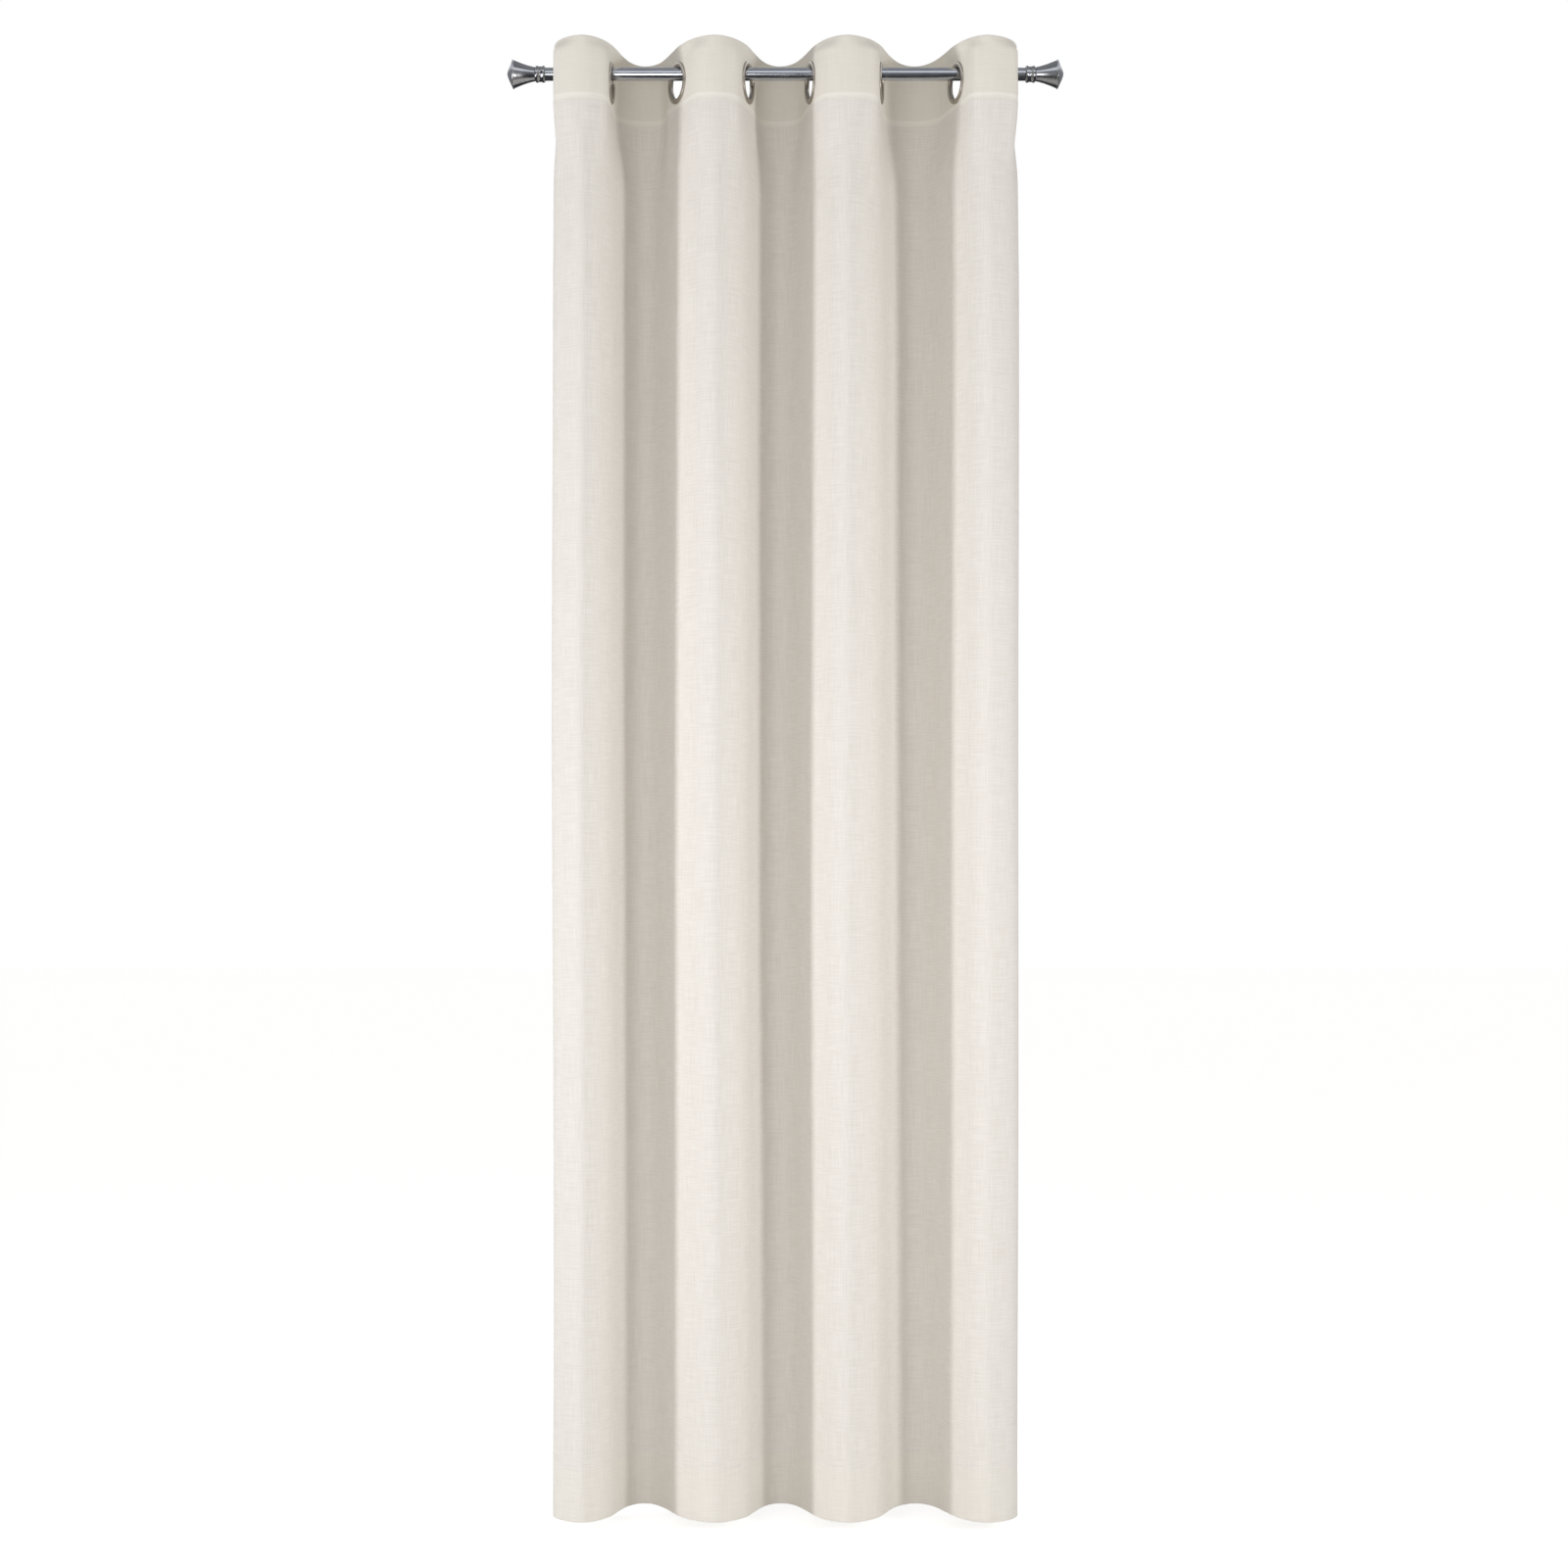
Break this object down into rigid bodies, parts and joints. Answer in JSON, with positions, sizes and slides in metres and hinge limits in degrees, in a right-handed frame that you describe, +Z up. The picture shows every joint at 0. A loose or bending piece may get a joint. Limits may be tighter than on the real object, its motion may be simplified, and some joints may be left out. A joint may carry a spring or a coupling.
{
  "type": "eyelet curtain on a rod",
  "caption": "Floor-length eyelet curtain panel in cream linen-look cloth, hung in deep round folds on a plain steel rod with trumpet finials.",
  "frame": {"origin": "middle of the rod's axis", "axes": "+X along the rod, -Y into the room, +Z up"},
  "size_m": [0.814, 0.1351, 2.133],
  "materials": {
    "panel_cloth": "matte linen-look plain weave with slubs",
    "heading_cloth": "matte double cloth, stiffened",
    "rod_metal": "satin",
    "eyelet_metal": "satin nickel plate",
    "finial_metal": "polished plate",
    "screw_metal": "black oxide"
  },
  "bodies": {
    "rod": {"rod_tube": "rod_metal"},
    "eyelet_1": {"eyelet_1_front": "eyelet_metal", "eyelet_1_back": "eyelet_metal", "panel_eyelet_1": "panel_cloth", "heading_eyelet_1": "heading_cloth", "panel_side_left": "panel_cloth", "heading_side_left": "heading_cloth"},
    "eyelet_2": {"eyelet_2_front": "eyelet_metal", "eyelet_2_back": "eyelet_metal", "panel_eyelet_2": "panel_cloth", "heading_eyelet_2": "heading_cloth", "panel_fold_1": "panel_cloth", "heading_fold_1": "heading_cloth"},
    "eyelet_3": {"eyelet_3_front": "eyelet_metal", "eyelet_3_back": "eyelet_metal", "panel_eyelet_3": "panel_cloth", "heading_eyelet_3": "heading_cloth", "panel_fold_2": "panel_cloth", "heading_fold_2": "heading_cloth"},
    "eyelet_4": {"eyelet_4_front": "eyelet_metal", "eyelet_4_back": "eyelet_metal", "panel_eyelet_4": "panel_cloth", "heading_eyelet_4": "heading_cloth", "panel_fold_3": "panel_cloth", "heading_fold_3": "heading_cloth"},
    "eyelet_5": {"eyelet_5_front": "eyelet_metal", "eyelet_5_back": "eyelet_metal", "panel_eyelet_5": "panel_cloth", "heading_eyelet_5": "heading_cloth", "panel_fold_4": "panel_cloth", "heading_fold_4": "heading_cloth"},
    "eyelet_6": {"eyelet_6_front": "eyelet_metal", "eyelet_6_back": "eyelet_metal", "panel_eyelet_6": "panel_cloth", "heading_eyelet_6": "heading_cloth", "panel_fold_5": "panel_cloth", "heading_fold_5": "heading_cloth"},
    "eyelet_7": {"eyelet_7_front": "eyelet_metal", "eyelet_7_back": "eyelet_metal", "panel_eyelet_7": "panel_cloth", "heading_eyelet_7": "heading_cloth", "panel_fold_6": "panel_cloth", "heading_fold_6": "heading_cloth"},
    "eyelet_8": {"eyelet_8_front": "eyelet_metal", "eyelet_8_back": "eyelet_metal", "panel_eyelet_8": "panel_cloth", "heading_eyelet_8": "heading_cloth", "panel_fold_7": "panel_cloth", "heading_fold_7": "heading_cloth", "panel_side_right": "panel_cloth", "heading_side_right": "heading_cloth"},
    "finial_left": {"finial_left_head": "finial_metal", "finial_left_collar": "finial_metal", "finial_left_screw": "screw_metal"},
    "finial_right": {"finial_right_head": "finial_metal", "finial_right_collar": "finial_metal", "finial_right_screw": "screw_metal"}
  },
  "joints": [
    {"name": "draw_curtain", "type": "slide", "parent": "rod", "child": "eyelet_8", "axis": [-1, 0, 0], "range_m": [0, 0.2628]},
    {"name": "close_fold_7", "type": "slide", "parent": "eyelet_8", "child": "eyelet_7", "axis": [1, 0, 0], "range_m": [0, 0.0308], "deforming": ["panel_fold_7", "heading_fold_7"]},
    {"name": "close_fold_6", "type": "slide", "parent": "eyelet_7", "child": "eyelet_6", "axis": [1, 0, 0], "range_m": [0, 0.044], "deforming": ["panel_fold_6", "heading_fold_6"]},
    {"name": "close_fold_5", "type": "slide", "parent": "eyelet_6", "child": "eyelet_5", "axis": [1, 0, 0], "range_m": [0, 0.0412], "deforming": ["panel_fold_5", "heading_fold_5"]},
    {"name": "close_fold_4", "type": "slide", "parent": "eyelet_5", "child": "eyelet_4", "axis": [1, 0, 0], "range_m": [0, 0.0368], "deforming": ["panel_fold_4", "heading_fold_4"]},
    {"name": "close_fold_3", "type": "slide", "parent": "eyelet_4", "child": "eyelet_3", "axis": [1, 0, 0], "range_m": [0, 0.0412], "deforming": ["panel_fold_3", "heading_fold_3"]},
    {"name": "close_fold_2", "type": "slide", "parent": "eyelet_3", "child": "eyelet_2", "axis": [1, 0, 0], "range_m": [0, 0.0388], "deforming": ["panel_fold_2", "heading_fold_2"]},
    {"name": "close_fold_1", "type": "slide", "parent": "eyelet_2", "child": "eyelet_1", "axis": [1, 0, 0], "range_m": [0, 0.03], "deforming": ["panel_fold_1", "heading_fold_1"]},
    {"name": "pull_finial_left", "type": "slide", "parent": "rod", "child": "finial_left", "axis": [-1, 0, 0], "range_m": [0, 0.045]},
    {"name": "pull_finial_right", "type": "slide", "parent": "rod", "child": "finial_right", "axis": [1, 0, 0], "range_m": [0, 0.045]}
  ],
  "couplings": [
    {"joint": "close_fold_7", "follows": "draw_curtain", "ratio": 0.1172},
    {"joint": "close_fold_6", "follows": "draw_curtain", "ratio": 0.16743},
    {"joint": "close_fold_5", "follows": "draw_curtain", "ratio": 0.15677},
    {"joint": "close_fold_4", "follows": "draw_curtain", "ratio": 0.14003},
    {"joint": "close_fold_3", "follows": "draw_curtain", "ratio": 0.15677},
    {"joint": "close_fold_2", "follows": "draw_curtain", "ratio": 0.14764},
    {"joint": "close_fold_1", "follows": "draw_curtain", "ratio": 0.11416}
  ]
}
